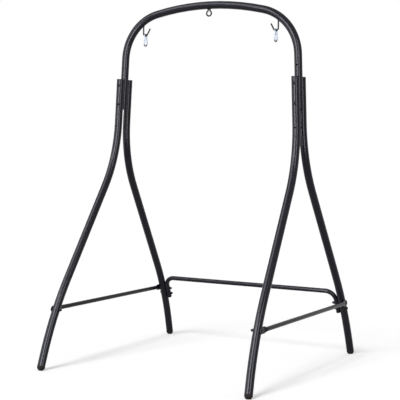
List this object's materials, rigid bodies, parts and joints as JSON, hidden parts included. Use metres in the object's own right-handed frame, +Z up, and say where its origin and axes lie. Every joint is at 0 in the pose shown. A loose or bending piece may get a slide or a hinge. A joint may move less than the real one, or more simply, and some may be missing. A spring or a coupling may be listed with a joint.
{
  "type": "indoor swing frame",
  "caption": "Free-standing indoor swing frame: a crowned tube arch on splayed bent legs, tied by side braces and a rear cross bar, with hooks, snap links and an eye for a swing.",
  "frame": {"origin": "on the floor under the middle of the frame", "axes": "+Z up, +X to the right seen from the front, front towards -Y"},
  "size_m": [1.1908, 1.3184, 1.8779],
  "materials": {
    "coated_steel": "semi-gloss charcoal powder coat",
    "foot_rubber": "matt moulded rubber",
    "plug_plastic": "matt moulded black plastic",
    "black_hardware": "satin black plating",
    "bright_zinc": "blue-white zinc plating",
    "spring_steel": "plain spring steel"
  },
  "bodies": {
    "frame": {"top_arch": "coated_steel", "front_left_leg": "coated_steel", "front_right_leg": "coated_steel", "rear_left_leg": "coated_steel", "rear_right_leg": "coated_steel", "left_side_brace": "coated_steel", "right_side_brace": "coated_steel", "rear_cross_bar": "coated_steel", "left_hook": "coated_steel", "right_hook": "coated_steel", "center_eye": "coated_steel", "front_left_foot": "foot_rubber", "front_right_foot": "foot_rubber", "rear_left_foot": "foot_rubber", "rear_right_foot": "foot_rubber", "leg_top_plugs": "plug_plastic", "arch_end_plugs": "plug_plastic", "cross_bar_plugs": "plug_plastic", "joint_bolts": "black_hardware", "joint_washers": "black_hardware", "joint_cap_nuts": "black_hardware", "front_brace_bolts": "black_hardware", "front_brace_nuts": "black_hardware", "rear_brace_bolts": "black_hardware", "rear_brace_nuts": "black_hardware", "cross_bar_bolts": "black_hardware", "cross_bar_nuts": "black_hardware", "side_washers": "black_hardware"},
    "left_link_body": {"left_link": "bright_zinc"},
    "left_gate_body": {"left_gate": "bright_zinc", "left_gate_pin": "spring_steel", "left_gate_spring": "spring_steel"},
    "right_link_body": {"right_link": "bright_zinc"},
    "right_gate_body": {"right_gate": "bright_zinc", "right_gate_pin": "spring_steel", "right_gate_spring": "spring_steel"}
  },
  "joints": [
    {"name": "left_link_swing", "type": "hinge", "parent": "frame", "child": "left_link_body", "pos_m": [-0.3815, 0, 1.7136], "axis": [1, 0, 0], "range_deg": [-90, 90]},
    {"name": "left_gate_hinge", "type": "hinge", "parent": "left_link_body", "child": "left_gate_body", "pos_m": [-0.3815, -0.00915, 1.70924], "axis": [1, 0, 0], "range_deg": [0, 25], "stiffness_Nm_per_rad": 0.02, "springref_deg": -17.19},
    {"name": "right_link_swing", "type": "hinge", "parent": "frame", "child": "right_link_body", "pos_m": [0.3815, 0, 1.7136], "axis": [1, 0, 0], "range_deg": [-90, 90]},
    {"name": "right_gate_hinge", "type": "hinge", "parent": "right_link_body", "child": "right_gate_body", "pos_m": [0.3815, -0.00915, 1.70924], "axis": [1, 0, 0], "range_deg": [0, 25], "stiffness_Nm_per_rad": 0.02, "springref_deg": -17.19}
  ]
}
